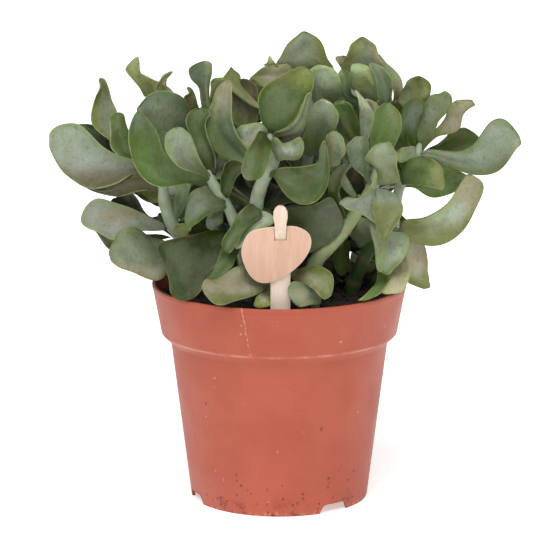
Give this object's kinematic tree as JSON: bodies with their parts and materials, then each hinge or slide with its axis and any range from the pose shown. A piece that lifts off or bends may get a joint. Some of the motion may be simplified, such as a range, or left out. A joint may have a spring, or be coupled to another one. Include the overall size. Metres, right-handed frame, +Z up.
{
  "type": "potted silver jade plant",
  "caption": "Potted silver jade plant: wavy grey-green succulent leaves on leafy stems in a terracotta-coloured nursery pot, with a wooden stick holding a bare rounded tag.",
  "frame": {"origin": "on the pot's axis at the floor it stands on, which is the middle of the bounding box's bottom within 1.3 mm", "axes": "+Z up along the pot's axis, -Y towards the label and the front, +X to the right as seen from the front"},
  "size_m": [0.2186, 0.1339, 0.2212],
  "materials": {
    "pot": "satin",
    "soil": "matte",
    "label_stick": "matte",
    "label_plate": "matte",
    "leafy_stem_a": "satin",
    "leafy_stem_b": "satin",
    "leafy_stem_c": "satin",
    "leafy_stem_d": "satin",
    "leafy_stem_e": "satin",
    "leafy_stem_f": "satin",
    "leafy_stem_g": "satin",
    "leafy_stem_h": "satin",
    "leafy_stem_i": "satin",
    "leafy_stem_j": "satin",
    "leafy_stem_k": "satin"
  },
  "bodies": {
    "root": {"pot": "pot", "soil": "soil", "label_stick": "label_stick", "label_plate": "label_plate", "leafy_stem_a": "leafy_stem_a", "leafy_stem_b": "leafy_stem_b", "leafy_stem_c": "leafy_stem_c", "leafy_stem_d": "leafy_stem_d", "leafy_stem_e": "leafy_stem_e", "leafy_stem_f": "leafy_stem_f", "leafy_stem_g": "leafy_stem_g", "leafy_stem_h": "leafy_stem_h", "leafy_stem_i": "leafy_stem_i", "leafy_stem_j": "leafy_stem_j", "leafy_stem_k": "leafy_stem_k"}
  },
  "joints": []
}
